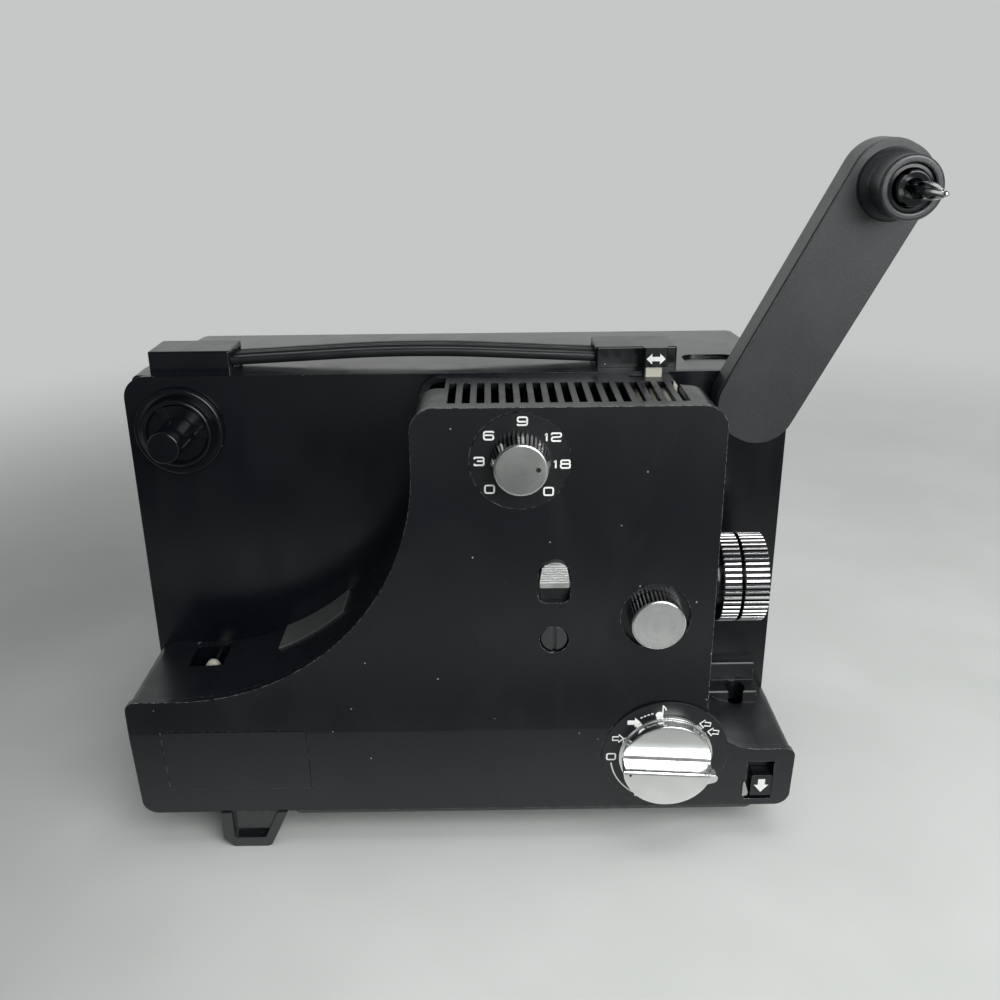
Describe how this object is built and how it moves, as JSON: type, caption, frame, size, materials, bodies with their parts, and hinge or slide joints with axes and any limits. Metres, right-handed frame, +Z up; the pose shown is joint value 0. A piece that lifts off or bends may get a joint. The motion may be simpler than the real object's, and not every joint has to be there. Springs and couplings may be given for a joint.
{
  "type": "small-gauge film projector",
  "caption": "Table-top film projector with a folding supply arm, a take-up reel well, a fluted lens, face dials, a top air grille and a strap handle.",
  "frame": {"origin": "centre of the round screw foot's underside, on the table", "axes": "+X along the light beam out of the lens, +Y away from the operator's face, +Z up"},
  "size_m": [0.3051, 0.1461, 0.2756],
  "materials": {
    "dark_enamel": "fine semi-gloss enamel",
    "dark_shell": "fine grained moulding",
    "strap_rubber": "ribbed, matte",
    "arm_paint": "grained paint",
    "black_plastic": "matte moulding",
    "satin_metal": "turned and satin anodised",
    "scale_enamel": "printed with plain marks",
    "lens_black": "black anodised, fluted",
    "lens_glass": "coated",
    "bright_metal": "polished",
    "steel": "machined",
    "motor_steel": "plated can",
    "cream_plastic": "smooth",
    "bush_brass": "turned",
    "belt_rubber": "smooth",
    "foot_rubber": "matte",
    "wheel_plastic": "fluted rim",
    "lamp_glass": "clear, mirror-coated inside",
    "ceramic": "unglazed",
    "mirror": "front-silvered"
  },
  "bodies": {
    "chassis": {"front_cover": "dark_enamel", "film_side_housing": "dark_enamel", "mechanism_plate": "dark_enamel", "rear_housing": "dark_shell", "base_tray": "dark_shell", "moulded_feet": "dark_shell", "handle_caps": "dark_shell", "carry_strap": "strap_rubber", "lens_holder": "satin_metal", "speed_scale": "scale_enamel", "speed_control": "black_plastic", "selector_scale": "scale_enamel", "selector_switch": "black_plastic", "label_plate": "scale_enamel", "film_guide_strip": "satin_metal", "motor": "motor_steel", "lamp": "lamp_glass", "lamp_socket": "ceramic", "mirror": "mirror", "gate_block": "satin_metal", "mains_inlet": "black_plastic", "transformer": "motor_steel", "shaft_bushes": "bush_brass", "housing_screws": "steel", "drive_belt": "belt_rubber", "takeup_belt": "belt_rubber", "rewind_belt": "belt_rubber"},
    "lens": {"lens_barrel": "lens_black", "lens_glass": "lens_glass"},
    "zoom_grip": {"zoom_ring": "lens_black"},
    "focus_grip": {"focus_ring": "lens_black"},
    "speed_dial": {"speed_knob": "satin_metal"},
    "focus_dial": {"focus_knob": "satin_metal"},
    "selector_dial": {"selector_knob": "satin_metal"},
    "format_slide": {"format_switch": "black_plastic"},
    "adjuster": {"adjuster_screw": "bright_metal"},
    "button": {"arrow_button": "black_plastic"},
    "top_slider": {"slider_cap": "black_plastic", "slider_stem": "cream_plastic"},
    "arm": {"arm_frame": "arm_paint", "arm_cover": "arm_paint", "hub_collar": "black_plastic", "arm_retainer": "steel", "arm_belt": "belt_rubber"},
    "supply": {"supply_spindle": "black_plastic", "spindle_clip": "bright_metal"},
    "arm_drive": {"arm_drive_shaft": "steel"},
    "takeup": {"takeup_flange": "black_plastic", "takeup_spindle": "black_plastic"},
    "roller": {"exit_roller": "cream_plastic"},
    "rotor": {"motor_shaft": "steel", "cooling_fan": "black_plastic"},
    "main_drive": {"main_shaft": "steel", "shutter": "steel"},
    "sprocket": {"film_sprocket": "cream_plastic"},
    "film_presser": {"pressure_plate": "steel"},
    "film_claw": {"claw": "steel"},
    "wheel": {"foot_wheel": "wheel_plastic"},
    "stem": {"screw_foot": "foot_rubber"}
  },
  "joints": [
    {"name": "arm_fold", "type": "hinge", "parent": "chassis", "child": "arm", "pos_m": [0.0212, -0.022, 0.1791], "axis": [0, 1, 0], "range_deg": [0, 141]},
    {"name": "supply_spin", "type": "hinge", "parent": "arm", "child": "supply", "pos_m": [0.06247, -0.034, 0.25975], "axis": [0, 1, 0], "continuous": true},
    {"name": "arm_drive_spin", "type": "hinge", "parent": "chassis", "child": "arm_drive", "pos_m": [0.0212, -0.004, 0.1791], "axis": [0, 1, 0], "continuous": true},
    {"name": "takeup_spin", "type": "hinge", "parent": "chassis", "child": "takeup", "pos_m": [-0.206, -0.024, 0.167], "axis": [0, 1, 0], "continuous": true},
    {"name": "motor_spin", "type": "hinge", "parent": "chassis", "child": "rotor", "pos_m": [-0.131, 0.026, 0.071], "axis": [0, 1, 0], "continuous": true},
    {"name": "main_spin", "type": "hinge", "parent": "chassis", "child": "main_drive", "pos_m": [-0.04, -0.004, 0.087], "axis": [0, 1, 0], "continuous": true},
    {"name": "sprocket_spin", "type": "hinge", "parent": "chassis", "child": "sprocket", "pos_m": [-0.076, -0.024, 0.0662], "axis": [0, 1, 0], "continuous": true},
    {"name": "speed_turn", "type": "hinge", "parent": "chassis", "child": "speed_dial", "pos_m": [-0.0715, -0.064, 0.1691], "axis": [0, 1, 0], "range_deg": [-227, 44]},
    {"name": "focus_turn", "type": "hinge", "parent": "chassis", "child": "focus_dial", "pos_m": [-0.0202, -0.064, 0.1064], "axis": [0, 1, 0], "range_deg": [-33.6, 33.6]},
    {"name": "lens_travel", "type": "slide", "parent": "chassis", "child": "lens", "axis": [1, 0, 0], "range_m": [-0.002, 0.002]},
    {"name": "zoom_turn", "type": "hinge", "parent": "lens", "child": "zoom_grip", "pos_m": [0.008, -0.0469, 0.11485], "axis": [1, 0, 0], "range_deg": [-35, 35]},
    {"name": "front_ring_turn", "type": "hinge", "parent": "lens", "child": "focus_grip", "pos_m": [0.017, -0.0469, 0.11485], "axis": [1, 0, 0], "range_deg": [-60, 60]},
    {"name": "selector_turn", "type": "hinge", "parent": "chassis", "child": "selector_dial", "pos_m": [-0.0136, -0.06285, 0.0444], "axis": [0, -0.9959, -0.0906], "range_deg": [-60, 60]},
    {"name": "format_travel", "type": "slide", "parent": "chassis", "child": "format_slide", "axis": [0, 0, -1], "range_m": [0, 0.0056]},
    {"name": "adjuster_turn", "type": "hinge", "parent": "chassis", "child": "adjuster", "pos_m": [-0.0586, -0.064, 0.0972], "axis": [0, 1, 0], "range_deg": [-90, 90]},
    {"name": "button_press", "type": "slide", "parent": "chassis", "child": "button", "axis": [0, 0.0906, -0.9959], "range_m": [0, 0.002], "stiffness_N_per_m": 150},
    {"name": "slider_travel", "type": "slide", "parent": "chassis", "child": "top_slider", "axis": [-1, 0, 0], "range_m": [0, 0.006]},
    {"name": "roller_spin", "type": "hinge", "parent": "chassis", "child": "roller", "pos_m": [-0.202, -0.028, 0.064], "axis": [0, 1, 0], "continuous": true},
    {"name": "claw_travel", "type": "slide", "parent": "chassis", "child": "film_claw", "axis": [0, 0, -1], "range_m": [0, 0.0042]},
    {"name": "presser_travel", "type": "slide", "parent": "chassis", "child": "film_presser", "axis": [1, 0, 0], "range_m": [0, 0.001], "stiffness_N_per_m": 300},
    {"name": "wheel_turn", "type": "hinge", "parent": "chassis", "child": "wheel", "pos_m": [0, 0, 0.017], "axis": [0, 0, 1], "range_deg": [0, 720]},
    {"name": "foot_travel", "type": "slide", "parent": "chassis", "child": "stem", "axis": [0, 0, -1], "range_m": [0, 0.005]}
  ],
  "couplings": [
    {"joint": "lens_travel", "follows": "focus_turn", "m_per_rad": 0.0034},
    {"joint": "supply_spin", "follows": "arm_drive_spin", "ratio": 1},
    {"joint": "takeup_spin", "follows": "motor_spin", "ratio": 0.45833},
    {"joint": "main_spin", "follows": "motor_spin", "ratio": 0.35},
    {"joint": "sprocket_spin", "follows": "motor_spin", "ratio": -0.029167},
    {"joint": "foot_travel", "follows": "wheel_turn", "m_per_rad": 0.00039749}
  ]
}
